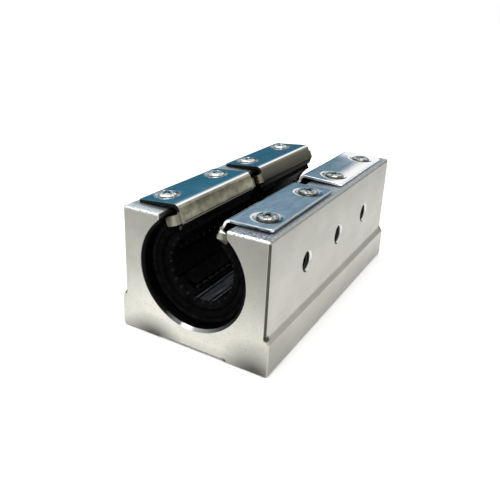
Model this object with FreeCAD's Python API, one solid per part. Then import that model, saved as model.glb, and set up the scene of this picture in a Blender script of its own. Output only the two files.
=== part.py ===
import FreeCAD, Part
import math
import os

# Open linear bearing block for a supported shaft.
# Frame: origin at the centre of the base, +Y along the shaft, +Z up through the open slot.
# The side with the tapped holes faces +X. All sizes are in millimetres.

# Housing: one machined extrusion, 48 wide, 38 high and 96 long, its bore's axis 23 above the base
HOUSING_LENGTH = 96.0
FLOOR_WALL = 7.0
SIDE_WALL = 6.8
FOOT_OVERHANG = 1.2
FOOT_HEIGHT = 9.8
FOOT_SLOPE_RISE = 1.7
LIP_CUT = 1.0
SLOT_WIDTH = 21.0
RELIEF_WIDTH = 22.6
RELIEF_DEPTH = 0.6
RELIEF_SLOPE = 1.2
BASE_CORNER_RADIUS = 1.0
TOP_CORNER_RADIUS = 1.0
SOFT_EDGE_RADIUS = 0.5
FOOT_HOLLOW_RADIUS = 1.6
END_BEVEL = 0.35
UPRIGHT_BEVEL = 0.6
MOUTH_BEVEL = 0.8

# Shaft and bushings, each 32 in diameter
SHAFT_DIAMETER = 20.0
SHAFT_CLEARANCE = 0.05
BUSHING_LENGTH = 42.0
BUSHING_GAP = 5.0
BUSHING_SEAT_CLEARANCE = 0.02
BUSHING_SLOT_ANGLE = 72.0
SLEEVE_WALL = 2.8
SLEEVE_END_BEVEL = 0.7
SNAP_GROOVE_WIDTH = 1.6
SNAP_GROOVE_DEPTH = 0.6
SNAP_GROOVE_INSET = 4.95

# End rings with a rubber lip
SEAL_SEAT_DEPTH = 1.15
SEAL_THICKNESS = 2.3
SEAL_SETBACK = 0.3
SEAL_CLEARANCE = 0.04
SEAL_RIM_WIDTH = 1.75
SEAL_GROOVE_WIDTH = 0.45
SEAL_GROOVE_DEPTH = 1.3
SEAL_LIP_SETBACK = 0.9
SEAL_LAND_LENGTH = 0.7
SEAL_EDGE_RADIUS = 0.3

# Ball cage and balls
BALL_DIAMETER = 3.175
BALL_CLEARANCE = 0.025
BALL_PITCH = 3.25
BALL_PLACE_STEP = 0.02
CHANNEL_CLEARANCE = 0.07
CIRCUIT_ANGLES = (18.0, -54.0, -126.0, 162.0)
ROW_SPACING = 3.9
RETURN_ROW_LIFT = 0.62
CAGE_END_WALL = 1.7
CAGE_BORE_CLEARANCE = 0.35
CAGE_CLEARANCE = 0.1
LAND_ANGLES = (-18.0, -90.0, -162.0)
LAND_WIDTH = 5.6
LAND_DEPTH = 0.2
LAND_GROOVE_WIDTH = 0.5
LAND_GROOVE_DEPTH = 0.7

# Retaining clips: bent sheet
CLIP_THICKNESS = 0.8
CLIP_LENGTH = 40.0
CLIP_EDGE_INSET = 1.8
CLIP_SEAT_GAP = 0.02
LEFT_CLIP_TILT = 4.5
LEFT_CLIP_LIFT = 0.02
FRONT_RIGHT_CLIP_TILT = 0.2
FRONT_RIGHT_CLIP_LIFT = 0.35
REAR_RIGHT_CLIP_TILT = 3.5
REAR_RIGHT_CLIP_LIFT = 0.25
CLIP_BEND_OVERHANG = 2.7
CLIP_BEND_RADIUS = 1.4
CLIP_CREASE_RADIUS = 1.2
CLIP_FLANGE_SLANT = 22.0
CLIP_FLANGE_LENGTH = 4.9
CLIP_TO_BUSHING_GAP = 0.15
CLIP_LIP_INSET = 1.2
CLIP_CORNER_RADIUS = 1.2
CLIP_EDGE_RADIUS = 0.25
TAB_HEIGHT = 2.8
TAB_TO_LIP_GAP = 0.25
TAB_BEND_RADIUS = 0.75
TAB_END_GAP = 0.05
TAB_CORNER_RADIUS = 0.4

# Clip screws, two to a clip
SCREW_EDGE_INSET = 5.0
SCREW_SPACING = 26.0
SCREW_CORE_RADIUS = 1.45
SCREW_LENGTH = 6.0
SCREW_HEAD_RADIUS = 3.3
SCREW_HEAD_RIM = 0.45
SCREW_HEAD_HEIGHT = 1.25
SCREW_RECESS_SPAN = 3.5
SCREW_RECESS_WIDTH = 0.7
SCREW_RECESS_DEPTH = 0.8
SCREW_HOLE_GAP = 0.35
DIMPLE_RADIUS = 4.0
DIMPLE_FLOOR_MARGIN = 0.2

# Tapped holes
THREAD_GAP = 0.03
SIDE_HOLE_RADIUS = 2.5
SIDE_HOLE_SPACING = 24.0
SIDE_HOLE_RISE = 1.0
SIDE_HOLE_BEVEL = 0.75
BASE_HOLE_RADIUS = 2.5
BASE_HOLE_DEPTH = 12.0
BASE_HOLE_BEVEL = 0.6
BASE_HOLE_SPACING_X = 35.0
BASE_HOLE_SPACING_Y = 70.0
LIP_HOLE_EXTRA_DEPTH = 0.6
DRILL_POINT_ANGLE = 118.0

# Adjusting screws in the two outer side holes
ADJUSTER_LENGTH = 4.5
ADJUSTER_END_GAP = 0.05
ADJUSTER_BEVEL = 0.6
ADJUSTER_SOCKET_ACROSS = 3.0
ADJUSTER_SOCKET_DEPTH = 2.2

# Sizes that follow from the ones above
SHAFT_RADIUS = SHAFT_DIAMETER / 2
BALL_RADIUS = BALL_DIAMETER / 2
LOADED_ROW_RADIUS = SHAFT_RADIUS + BALL_CLEARANCE / 2 + BALL_RADIUS
RETURN_ROW_RADIUS = LOADED_ROW_RADIUS + RETURN_ROW_LIFT
SLEEVE_INNER_RADIUS = SHAFT_RADIUS + BALL_CLEARANCE + BALL_DIAMETER
BUSHING_RADIUS = SLEEVE_INNER_RADIUS + SLEEVE_WALL
BORE_RADIUS = BUSHING_RADIUS + BUSHING_SEAT_CLEARANCE
AXIS_HEIGHT = BUSHING_RADIUS + FLOOR_WALL
BODY_WIDTH = 2 * (BUSHING_RADIUS + SIDE_WALL)
BASE_WIDTH = BODY_WIDTH + 2 * FOOT_OVERHANG
BODY_HEIGHT = AXIS_HEIGHT + BUSHING_RADIUS - LIP_CUT
SIDE_HOLE_HEIGHT = AXIS_HEIGHT + SIDE_HOLE_RISE
CHANNEL_RADIUS = BALL_RADIUS + CHANNEL_CLEARANCE
CAGE_INNER_RADIUS = SHAFT_RADIUS + CAGE_BORE_CLEARANCE
CAGE_OUTER_RADIUS = SLEEVE_INNER_RADIUS - CAGE_CLEARANCE
SEAL_SEAT_RADIUS = SLEEVE_INNER_RADIUS + SEAL_SEAT_DEPTH
SEAL_BACK = BUSHING_LENGTH / 2 - SEAL_SETBACK - SEAL_THICKNESS
CAGE_END = SEAL_BACK - CAGE_CLEARANCE
BUSHING_CENTRE = (BUSHING_LENGTH + BUSHING_GAP) / 2
CLIP_OUTER_EDGE = BODY_WIDTH / 2 - CLIP_EDGE_INSET
CLIP_BEND_OFFSET = SLOT_WIDTH / 2 - CLIP_BEND_OVERHANG
SCREW_OFFSET = CLIP_OUTER_EDGE - SCREW_EDGE_INSET
SCREW_SEAT_HEIGHT = BODY_HEIGHT + CLIP_SEAT_GAP + CLIP_THICKNESS

# How each clip was screwed down: its plate's tilt and its outer edge's lift off the lip
CLIP_SETTINGS = {
    "front_left": (LEFT_CLIP_TILT, LEFT_CLIP_LIFT),
    "front_right": (FRONT_RIGHT_CLIP_TILT, FRONT_RIGHT_CLIP_LIFT),
    "rear_left": (LEFT_CLIP_TILT, LEFT_CLIP_LIFT),
    "rear_right": (REAR_RIGHT_CLIP_TILT, REAR_RIGHT_CLIP_LIFT),
}

X_AXIS = FreeCAD.Vector(1, 0, 0)
Y_AXIS = FreeCAD.Vector(0, 1, 0)
Z_AXIS = FreeCAD.Vector(0, 0, 1)
ORIGIN = FreeCAD.Vector(0, 0, 0)
SHAFT_CENTRE = FreeCAD.Vector(0, 0, AXIS_HEIGHT)


def section_point(across, height):
    """A point of the XZ plane, in which the cross-sections are drawn."""
    return FreeCAD.Vector(across, 0, height)


def rounded_wire(corners):
    """A closed wire through (point, radius) corners, each rounded by its own radius."""
    pieces = []
    for index, (here, radius) in enumerate(corners):
        back = (corners[index - 1][0] - here).normalize()
        ahead = (corners[(index + 1) % len(corners)][0] - here).normalize()
        if radius == 0:
            pieces.append((here, here, here))
            continue
        half_angle = back.getAngle(ahead) / 2
        inward = (back + ahead).normalize()
        reach = radius / math.tan(half_angle)
        middle = here + inward * (radius / math.sin(half_angle) - radius)
        pieces.append((here + back * reach, middle, here + ahead * reach))
    edges = []
    for index, (entry, middle, leave) in enumerate(pieces):
        previous_leave = pieces[index - 1][2]
        if previous_leave.distanceToPoint(entry) > 1e-6:
            edges.append(Part.LineSegment(previous_leave, entry).toShape())
        if entry.distanceToPoint(leave) > 1e-6:
            edges.append(Part.Arc(entry, middle, leave).toShape())
    return Part.Wire(edges)


def prism(corners, direction, start):
    """The rounded outline swept along a direction from a start offset."""
    face = Part.Face(rounded_wire(corners))
    face.translate(start)
    return face.extrude(direction)


def long_prism(corners, length):
    """A cross-section of the XZ plane, swept along the shaft and centred on it."""
    return prism(corners, Y_AXIS * length, Y_AXIS * (-length / 2))


def sheet_corners(path, radii, thickness):
    """The outline of a bent sheet, from its middle line and its middle bend radii."""
    left = []
    right = []
    directions = [(b - a).normalize() for a, b in zip(path, path[1:])]
    plane_normal = Y_AXIS if abs(directions[0].y) + abs(directions[-1].y) < 1e-9 else Z_AXIS
    for index, point in enumerate(path):
        before = directions[max(index - 1, 0)]
        after = directions[min(index, len(directions) - 1)]
        side_before = plane_normal.cross(before)
        side_after = plane_normal.cross(after)
        offset = (side_before + side_after) * (thickness / 2 / (1 + side_before.dot(side_after)))
        turn = math.copysign(thickness / 2, plane_normal.dot(before.cross(after)))
        radius = radii[index]
        left.append((point + offset, radius - turn if radius else 0))
        right.append((point - offset, radius + turn if radius else 0))
    return left + right[::-1]


def both_sides(half):
    """A closed outline from its right half, mirrored about the middle plane."""
    other = [(FreeCAD.Vector(-point.x, point.y, point.z), radius) for point, radius in half[::-1]]
    return half + other


def mirrored(shape):
    """The same piece on the other side of the slot."""
    return shape.mirror(ORIGIN, X_AXIS)


def moved(shape, offset):
    copy = shape.copy()
    copy.translate(offset)
    return copy


def open_ring(profile):
    """A ring round the shaft from (radius, place along the shaft) corners, open at the slot."""
    corners = [(FreeCAD.Vector(radius, place, AXIS_HEIGHT), edge) for radius, place, edge in profile]
    face = Part.Face(rounded_wire(corners))
    face.rotate(SHAFT_CENTRE, Y_AXIS, BUSHING_SLOT_ANGLE / 2 - 90)
    return face.revolve(SHAFT_CENTRE, Y_AXIS, 360 - BUSHING_SLOT_ANGLE)


def around_shaft(radius, angle, place=0.0):
    """The point at a radius and angle about the shaft; 0 points to +X and 90 to the slot."""
    turn = math.radians(angle)
    return FreeCAD.Vector(radius * math.cos(turn), place, AXIS_HEIGHT + radius * math.sin(turn))


def drilled_hole(mouth, inward, radius, depth, bevel):
    """A drilled hole with a bevelled mouth and a drill point, as the solid to cut away."""
    point_length = radius / math.tan(math.radians(DRILL_POINT_ANGLE / 2))
    bore = Part.makeCylinder(radius, depth, mouth, inward)
    tip = Part.makeCone(radius, 0, point_length, mouth + inward * depth, inward)
    entry = Part.makeCone(radius + bevel, radius, bevel, mouth, inward)
    return bore.fuse([tip, entry])


def housing_section():
    """The extrusion's outline: stepped foot, shallow relief below and the slot notch on top."""
    foot = BASE_WIDTH / 2
    body = BODY_WIDTH / 2
    relief = RELIEF_WIDTH / 2
    notch = SLOT_WIDTH / 2
    return both_sides([
        (section_point(relief - RELIEF_SLOPE, RELIEF_DEPTH), SOFT_EDGE_RADIUS),
        (section_point(relief, 0), SOFT_EDGE_RADIUS),
        (section_point(foot, 0), BASE_CORNER_RADIUS),
        (section_point(foot, FOOT_HEIGHT), SOFT_EDGE_RADIUS),
        (section_point(body, FOOT_HEIGHT + FOOT_SLOPE_RISE), FOOT_HOLLOW_RADIUS),
        (section_point(body, BODY_HEIGHT), TOP_CORNER_RADIUS),
        (section_point(notch, BODY_HEIGHT), SOFT_EDGE_RADIUS),
        (section_point(notch, AXIS_HEIGHT), 0),
    ])


def end_edges(shape, length):
    """The edges that lie in the two end faces."""
    return [edge for edge in shape.Edges
            if all(abs(abs(vertex.Y) - length / 2) < 1e-6 for vertex in edge.Vertexes)]


def corner_bevel():
    """The wedge taken off an upright end corner of the upper body, above the foot."""
    foot_top = FOOT_HEIGHT + FOOT_SLOPE_RISE
    inner = FreeCAD.Vector(BODY_WIDTH / 2 - UPRIGHT_BEVEL - 1, HOUSING_LENGTH / 2 + 1, foot_top)
    outer = FreeCAD.Vector(BODY_WIDTH / 2 + 1, HOUSING_LENGTH / 2 - UPRIGHT_BEVEL - 1, foot_top)
    beyond = FreeCAD.Vector(BODY_WIDTH / 2 + 1, HOUSING_LENGTH / 2 + 1, foot_top)
    corners = [(inner, 0), (outer, 0), (beyond, 0)]
    return prism(corners, Z_AXIS * BODY_HEIGHT, ORIGIN)


def mouth_bevel(side):
    """The cone that opens the bore at one end face."""
    mouth = SHAFT_CENTRE + Y_AXIS * (side * HOUSING_LENGTH / 2)
    inward = Y_AXIS * -side
    return Part.makeCone(BORE_RADIUS + MOUTH_BEVEL, BORE_RADIUS, MOUTH_BEVEL, mouth, inward)


def lip_hole(x, y):
    mouth = FreeCAD.Vector(x, y, BODY_HEIGHT)
    depth = SCREW_LENGTH - CLIP_THICKNESS + LIP_HOLE_EXTRA_DEPTH
    return drilled_hole(mouth, Z_AXIS * -1, SCREW_CORE_RADIUS + THREAD_GAP, depth, THREAD_GAP)


def side_hole(y):
    """A tapped hole from the +X side into the bore."""
    outer = BODY_WIDTH / 2
    mouth = FreeCAD.Vector(outer, y, SIDE_HOLE_HEIGHT)
    bore = Part.makeCylinder(SIDE_HOLE_RADIUS, outer - BORE_RADIUS / 2, mouth, X_AXIS * -1)
    entry = Part.makeCone(SIDE_HOLE_RADIUS + SIDE_HOLE_BEVEL, SIDE_HOLE_RADIUS, SIDE_HOLE_BEVEL,
                          mouth, X_AXIS * -1)
    return bore.fuse(entry)


def screw_places():
    """The (x, y) places of the clip screws."""
    return [(side * SCREW_OFFSET, centre + step * SCREW_SPACING / 2)
            for side in (1, -1)
            for centre in (-BUSHING_CENTRE, BUSHING_CENTRE)
            for step in (-1, 1)]


def make_housing():
    body = long_prism(housing_section(), HOUSING_LENGTH)
    body = body.makeChamfer(END_BEVEL, end_edges(body, HOUSING_LENGTH))
    start = SHAFT_CENTRE - Y_AXIS * HOUSING_LENGTH
    cuts = [Part.makeCylinder(BORE_RADIUS, 2 * HOUSING_LENGTH, start, Y_AXIS)]
    cuts += [mouth_bevel(side) for side in (1, -1)]
    for wedge in (corner_bevel(), mirrored(corner_bevel())):
        cuts += [wedge, wedge.mirror(ORIGIN, Y_AXIS)]
    cuts += [side_hole(step * SIDE_HOLE_SPACING) for step in (-1, 0, 1)]
    cuts += [lip_hole(x, y) for x, y in screw_places()]
    for x in (-BASE_HOLE_SPACING_X / 2, BASE_HOLE_SPACING_X / 2):
        for y in (-BASE_HOLE_SPACING_Y / 2, BASE_HOLE_SPACING_Y / 2):
            mouth = FreeCAD.Vector(x, y, 0)
            cuts.append(drilled_hole(mouth, Z_AXIS, BASE_HOLE_RADIUS, BASE_HOLE_DEPTH, BASE_HOLE_BEVEL))
    return body.cut(cuts)


def circuit_path(angle):
    """The closed middle line of one ball circuit: a loaded row, a return row and two half turns."""
    step = math.degrees(math.asin(ROW_SPACING / 2 / LOADED_ROW_RADIUS))
    lower_side = math.copysign(step, -math.cos(math.radians(angle)))
    loaded = around_shaft(LOADED_ROW_RADIUS, angle + lower_side)
    back = around_shaft(RETURN_ROW_RADIUS, angle - lower_side)
    centre = (loaded + back) * 0.5
    turn_radius = loaded.distanceToPoint(back) / 2
    run = Y_AXIS * (CAGE_END - CAGE_END_WALL - CHANNEL_RADIUS - turn_radius)
    reach = run + Y_AXIS * turn_radius
    curves = [
        Part.LineSegment(loaded - run, loaded + run),
        Part.Arc(loaded + run, centre + reach, back + run),
        Part.LineSegment(back + run, back - run),
        Part.Arc(back - run, centre - reach, loaded - run),
    ]
    return Part.Wire([curve.toShape() for curve in curves])


def ball_channel(path):
    """The space that a circuit's balls run in."""
    section = Part.Circle(path.Vertexes[0].Point, Y_AXIS, CHANNEL_RADIUS).toShape()
    return path.makePipeShell([Part.Wire(section)], True, False)


def ball_row(path):
    """The balls of a circuit, each at least one pitch from the next, as separate solids."""
    places = []
    for point in path.discretize(Distance=BALL_PLACE_STEP):
        if all(point.distanceToPoint(other) >= BALL_PITCH for other in places[:1] + places[-1:]):
            places.append(point)
    return Part.makeCompound([Part.makeSphere(BALL_RADIUS, place) for place in places])


def land_cut(angle, length):
    """The flat land between two circuits, with a narrow groove along each edge."""
    bottom = CAGE_INNER_RADIUS + LAND_DEPTH
    deep = CAGE_INNER_RADIUS + LAND_GROOVE_DEPTH
    start = SHAFT_CENTRE - Y_AXIS * (length / 2)
    flat = Part.makeBox(bottom, length, LAND_WIDTH, start - Z_AXIS * (LAND_WIDTH / 2))
    groove = Part.makeBox(deep, length, LAND_GROOVE_WIDTH, start + Z_AXIS * (LAND_WIDTH / 2))
    other = groove.mirror(SHAFT_CENTRE, Z_AXIS)
    cut = flat.fuse([groove, other])
    cut.rotate(SHAFT_CENTRE, Y_AXIS, -angle)
    return cut


def make_sleeve():
    """The steel shell: snap-ring grooves outside, seal seats at its ends and ball tracks inside."""
    end = BUSHING_LENGTH / 2
    groove = end - SNAP_GROOVE_INSET
    groove_radius = BUSHING_RADIUS - SNAP_GROOVE_DEPTH
    half = [
        (SLEEVE_INNER_RADIUS, SEAL_BACK),
        (SEAL_SEAT_RADIUS, SEAL_BACK),
        (SEAL_SEAT_RADIUS, end),
        (BUSHING_RADIUS - SLEEVE_END_BEVEL, end),
        (BUSHING_RADIUS, end - SLEEVE_END_BEVEL),
        (BUSHING_RADIUS, groove),
        (groove_radius, groove),
        (groove_radius, groove - SNAP_GROOVE_WIDTH),
        (BUSHING_RADIUS, groove - SNAP_GROOVE_WIDTH),
    ]
    profile = [(radius, place, 0) for radius, place in half]
    profile += [(radius, -place, 0) for radius, place in half[::-1]]
    return open_ring(profile)


def make_cage(channels):
    """The resin cage: a ring with four ball circuits and flat lands between them."""
    ring = open_ring([
        (CAGE_INNER_RADIUS, -CAGE_END, 0),
        (CAGE_INNER_RADIUS, CAGE_END, 0),
        (CAGE_OUTER_RADIUS, CAGE_END, 0),
        (CAGE_OUTER_RADIUS, -CAGE_END, 0),
    ])
    return ring.cut(channels + [land_cut(angle, 3 * CAGE_END) for angle in LAND_ANGLES])


def make_seal():
    """The end ring with its rubber lip, at the +Y end of a bushing."""
    face = BUSHING_LENGTH / 2 - SEAL_SETBACK
    outer = SEAL_SEAT_RADIUS - SEAL_CLEARANCE
    rim = outer - SEAL_RIM_WIDTH
    groove = rim - SEAL_GROOVE_WIDTH
    lip_face = face - SEAL_LIP_SETBACK
    lip_radius = SHAFT_RADIUS + SHAFT_CLEARANCE
    land_face = SEAL_BACK + SEAL_LAND_LENGTH
    return open_ring([
        (outer, SEAL_BACK, 0),
        (outer, face, SEAL_EDGE_RADIUS),
        (rim, face, SEAL_EDGE_RADIUS),
        (rim, face - SEAL_GROOVE_DEPTH, 0),
        (groove, face - SEAL_GROOVE_DEPTH, 0),
        (groove, lip_face, SEAL_EDGE_RADIUS),
        (lip_radius, land_face, 0),
        (lip_radius, SEAL_BACK, 0),
    ])


def clip_path(plate_tilt, lift):
    """The middle line of a clip's section: plate, bend, flange, crease and turned-back edge."""
    tilt = math.radians(plate_tilt)
    slant = math.radians(CLIP_FLANGE_SLANT)
    edge_height = BODY_HEIGHT + lift + CLIP_THICKNESS / 2 / math.cos(tilt)
    rise = (CLIP_OUTER_EDGE - CLIP_BEND_OFFSET) * math.tan(tilt)
    plate_edge = section_point(CLIP_OUTER_EDGE, edge_height)
    bend = section_point(CLIP_BEND_OFFSET, edge_height + rise)
    crease = bend - section_point(math.sin(slant), math.cos(slant)) * CLIP_FLANGE_LENGTH
    slot_face = 90 - BUSHING_SLOT_ANGLE / 2
    clear = CLIP_TO_BUSHING_GAP + CLIP_THICKNESS / 2
    on_face = around_shaft(SLEEVE_INNER_RADIUS - CLIP_LIP_INSET, slot_face)
    away = around_shaft(1, slot_face + 90) - SHAFT_CENTRE
    return plate_edge, bend, crease, on_face + away * clear


def plate_normal(path):
    """The direction out of a clip's plate, on its upper side."""
    plate_edge, bend, _, _ = path
    return (plate_edge - bend).cross(Y_AXIS).normalize()


def screw_hole(path, y):
    """The dimple pressed into the plate round a screw: what it adds below and what it takes."""
    plate_edge, bend, _, _ = path
    normal = plate_normal(path)
    share = (CLIP_OUTER_EDGE - SCREW_OFFSET) / (CLIP_OUTER_EDGE - CLIP_BEND_OFFSET)
    middle = plate_edge + (bend - plate_edge) * share + Y_AXIS * y
    floor_radius = SCREW_HEAD_RADIUS + DIMPLE_FLOOR_MARGIN
    cups = []
    for height, level in ((-CLIP_THICKNESS / 2, SCREW_SEAT_HEIGHT - CLIP_THICKNESS),
                          (CLIP_THICKNESS / 2, SCREW_SEAT_HEIGHT)):
        rim = Part.Wire(Part.Circle(middle + normal * height, normal, DIMPLE_RADIUS).toShape())
        centre = FreeCAD.Vector(SCREW_OFFSET, y, level)
        floor = Part.Wire(Part.Circle(centre, Z_AXIS, floor_radius).toShape())
        cups.append(Part.makeLoft([rim, floor], True, True))
    base = FreeCAD.Vector(SCREW_OFFSET, y, BODY_HEIGHT - 1)
    hole = Part.makeCylinder(SCREW_CORE_RADIUS + SCREW_HOLE_GAP, CLIP_THICKNESS + 2, base, Z_AXIS)
    return cups[0], cups[1].fuse(hole)


def clip_plan(path):
    """The plate's outline from above, with rounded outer corners, as a tall prism."""
    half = CLIP_LENGTH / 2
    bottom = path[3].z - CLIP_THICKNESS
    top = path[1].z + CLIP_THICKNESS
    corners = [
        (FreeCAD.Vector(0, -half, bottom), 0),
        (FreeCAD.Vector(CLIP_OUTER_EDGE, -half, bottom), CLIP_CORNER_RADIUS),
        (FreeCAD.Vector(CLIP_OUTER_EDGE, half, bottom), CLIP_CORNER_RADIUS),
        (FreeCAD.Vector(0, half, bottom), 0),
    ]
    return prism(corners, Z_AXIS * (top - bottom), ORIGIN)


def round_plate_edge(clip, path):
    """The soft top edge round the plate, left by stamping."""
    normal = plate_normal(path)
    level = path[0].dot(normal) + CLIP_THICKNESS / 2
    edges = [edge for edge in clip.Edges
             if all(abs(vertex.Point.dot(normal) - level) < 1e-6 for vertex in edge.Vertexes)
             and max(vertex.X for vertex in edge.Vertexes) > SCREW_OFFSET]
    return clip.makeFillet(CLIP_EDGE_RADIUS, edges)


def clip_tab(path):
    """The tab at the +Y end: the flange runs on and turns out over the bushing's end face."""
    _, bend, crease, _ = path
    up = (bend - crease).normalize()
    outward = Y_AXIS.cross(up)
    face = BUSHING_LENGTH / 2 + TAB_END_GAP + CLIP_THICKNESS / 2
    reach = (SLOT_WIDTH / 2 - TAB_TO_LIP_GAP - crease.x - TAB_HEIGHT * up.x) / outward.x
    local_path = [
        FreeCAD.Vector(0, CLIP_LENGTH / 2 - 1, 0),
        FreeCAD.Vector(0, face, 0),
        FreeCAD.Vector(reach, face, 0),
    ]
    outline = sheet_corners(local_path, (0, TAB_BEND_RADIUS, 0), CLIP_THICKNESS)
    tab = prism(outline, Z_AXIS * TAB_HEIGHT, ORIGIN)
    ends = [edge for edge in tab.Edges
            if all(abs(vertex.X - reach) < 1e-6 for vertex in edge.Vertexes)
            and abs(edge.Vertexes[0].Y - edge.Vertexes[-1].Y) > 1e-6]
    tab = tab.makeFillet(TAB_CORNER_RADIUS, ends)
    placement = FreeCAD.Placement(crease, FreeCAD.Rotation(outward, Y_AXIS, up, "ZXY"))
    return tab.transformed(placement.toMatrix())


def make_clip(plate_tilt, lift):
    """A retaining clip on the +X side of the slot, centred on its bushing."""
    path = clip_path(plate_tilt, lift)
    outline = sheet_corners(path, (0, CLIP_BEND_RADIUS, CLIP_CREASE_RADIUS, 0), CLIP_THICKNESS)
    plate = long_prism(outline, CLIP_LENGTH).common(clip_plan(path))
    tab = clip_tab(path)
    clip = plate.fuse([tab, tab.mirror(ORIGIN, Y_AXIS)]).removeSplitter()
    clip = round_plate_edge(clip, path)
    for step in (-1, 1):
        added, taken = screw_hole(path, step * SCREW_SPACING / 2)
        clip = clip.fuse(added).cut(taken)
    return clip.removeSplitter()


def make_clip_screw(y):
    """A pan-head screw with a cross recess, standing in its tapped hole."""
    base = SCREW_SEAT_HEIGHT + CLIP_SEAT_GAP
    top = base + SCREW_HEAD_HEIGHT
    head_start = FreeCAD.Vector(SCREW_HEAD_RADIUS, 0, base + SCREW_HEAD_RIM)
    crown = FreeCAD.Vector(0, 0, top)
    drop = SCREW_HEAD_HEIGHT - SCREW_HEAD_RIM
    dome_radius = (SCREW_HEAD_RADIUS ** 2 + drop ** 2) / (2 * drop)
    half_turn = math.asin(SCREW_HEAD_RADIUS / dome_radius) / 2
    on_dome = FreeCAD.Vector(dome_radius * math.sin(half_turn), 0,
                             top - dome_radius * (1 - math.cos(half_turn)))
    tip = base - SCREW_LENGTH
    corners = [
        crown,
        FreeCAD.Vector(0, 0, tip),
        FreeCAD.Vector(SCREW_CORE_RADIUS, 0, tip),
        FreeCAD.Vector(SCREW_CORE_RADIUS, 0, base),
        FreeCAD.Vector(SCREW_HEAD_RADIUS, 0, base),
        head_start,
    ]
    edges = [Part.LineSegment(a, b).toShape() for a, b in zip(corners, corners[1:])]
    edges.append(Part.Arc(head_start, on_dome, crown).toShape())
    screw = Part.Face(Part.Wire(edges)).revolve(ORIGIN, Z_AXIS, 360)
    slots = []
    for length, width in ((SCREW_RECESS_SPAN, SCREW_RECESS_WIDTH), (SCREW_RECESS_WIDTH, SCREW_RECESS_SPAN)):
        corner = FreeCAD.Vector(-length / 2, -width / 2, top - SCREW_RECESS_DEPTH)
        slots.append(Part.makeBox(length, width, 2 * SCREW_RECESS_DEPTH, corner))
    screw = screw.cut(slots[0].fuse(slots[1]))
    return moved(screw, FreeCAD.Vector(SCREW_OFFSET, y, 0))


def make_adjuster(y):
    """A headless socket screw in a side hole, its tip against the bushing's sleeve."""
    radius = SIDE_HOLE_RADIUS - THREAD_GAP
    tip = FreeCAD.Vector(BUSHING_RADIUS + ADJUSTER_END_GAP, y, SIDE_HOLE_HEIGHT)
    point = Part.makeCone(radius - ADJUSTER_BEVEL, radius, ADJUSTER_BEVEL, tip, X_AXIS)
    shank = Part.makeCylinder(radius, ADJUSTER_LENGTH - ADJUSTER_BEVEL, tip + X_AXIS * ADJUSTER_BEVEL, X_AXIS)
    across_corners = ADJUSTER_SOCKET_ACROSS / math.sqrt(3)
    outer = tip + X_AXIS * ADJUSTER_LENGTH
    corners = []
    for index in range(6):
        turn = math.radians(60 * index)
        spoke = FreeCAD.Vector(0, math.cos(turn), math.sin(turn)) * across_corners
        corners.append((outer + spoke, 0))
    socket = prism(corners, X_AXIS * -ADJUSTER_SOCKET_DEPTH, ORIGIN)
    return point.fuse(shank).cut(socket).removeSplitter()


def export(shape, node):
    shape.exportStep("parts/" + node + ".step")


def export_bushing(end, centre):
    """The pieces of one bushing, moved to its place along the shaft."""
    offset = Y_AXIS * centre
    circuits = [circuit_path(angle) for angle in CIRCUIT_ANGLES]
    channels = [ball_channel(path) for path in circuits]
    seal = make_seal()
    export(moved(make_sleeve().cut(channels), offset), "sleeve_" + end)
    export(moved(make_cage(channels), offset), "cage_" + end)
    export(moved(seal, offset), "seal_" + end + "_b")
    export(moved(seal.mirror(ORIGIN, Y_AXIS), offset), "seal_" + end + "_a")
    for number, path in enumerate(circuits, 1):
        export(moved(ball_row(path), offset), "ball_row_" + end + "_" + str(number))


def export_clips(end, centre):
    """The two clips of one bushing and their screws."""
    offset = Y_AXIS * centre
    screws = Part.makeCompound([make_clip_screw(step * SCREW_SPACING / 2) for step in (-1, 1)])
    for side, place in (("right", lambda shape: shape), ("left", mirrored)):
        clip = make_clip(*CLIP_SETTINGS[end + "_" + side])
        export(moved(place(clip), offset), "clip_" + end + "_" + side)
        export(moved(place(screws), offset), "clip_screws_" + end + "_" + side)


def main():
    os.makedirs("parts", exist_ok=True)
    export(make_housing(), "housing")
    for end, side in (("front", -1), ("rear", 1)):
        export_bushing(end, side * BUSHING_CENTRE)
        export_clips(end, side * BUSHING_CENTRE)
        export(make_adjuster(side * SIDE_HOLE_SPACING), "adjusting_screw_" + end)


main()
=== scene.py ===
"""The looks of an open linear bearing block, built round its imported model.

Metres. The origin is at the centre of the base, +Y runs along the shaft, +Z up through the slot,
and the side with the tapped holes faces +X.
"""

import math
from functools import cached_property

import bmesh
import bpy
from mathutils import Matrix, Vector


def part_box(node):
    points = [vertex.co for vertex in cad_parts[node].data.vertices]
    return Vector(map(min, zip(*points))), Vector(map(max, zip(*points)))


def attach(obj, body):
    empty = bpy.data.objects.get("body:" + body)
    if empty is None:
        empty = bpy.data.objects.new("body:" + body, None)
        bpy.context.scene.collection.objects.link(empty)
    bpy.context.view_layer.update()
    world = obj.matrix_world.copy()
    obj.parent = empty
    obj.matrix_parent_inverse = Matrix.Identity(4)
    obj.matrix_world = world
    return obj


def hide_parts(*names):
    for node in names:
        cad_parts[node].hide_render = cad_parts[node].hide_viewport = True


MM = 0.001
BODY = "root"
ENDS = ("front", "rear")
SIDES = ("left", "right")

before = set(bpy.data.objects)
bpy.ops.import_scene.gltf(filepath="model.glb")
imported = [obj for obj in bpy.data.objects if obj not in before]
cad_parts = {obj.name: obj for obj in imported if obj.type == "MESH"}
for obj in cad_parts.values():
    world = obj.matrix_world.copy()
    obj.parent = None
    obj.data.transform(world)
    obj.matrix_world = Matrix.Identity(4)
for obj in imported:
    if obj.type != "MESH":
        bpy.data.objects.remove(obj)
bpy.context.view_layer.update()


# --- Camera ----------------------------------------------------

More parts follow.
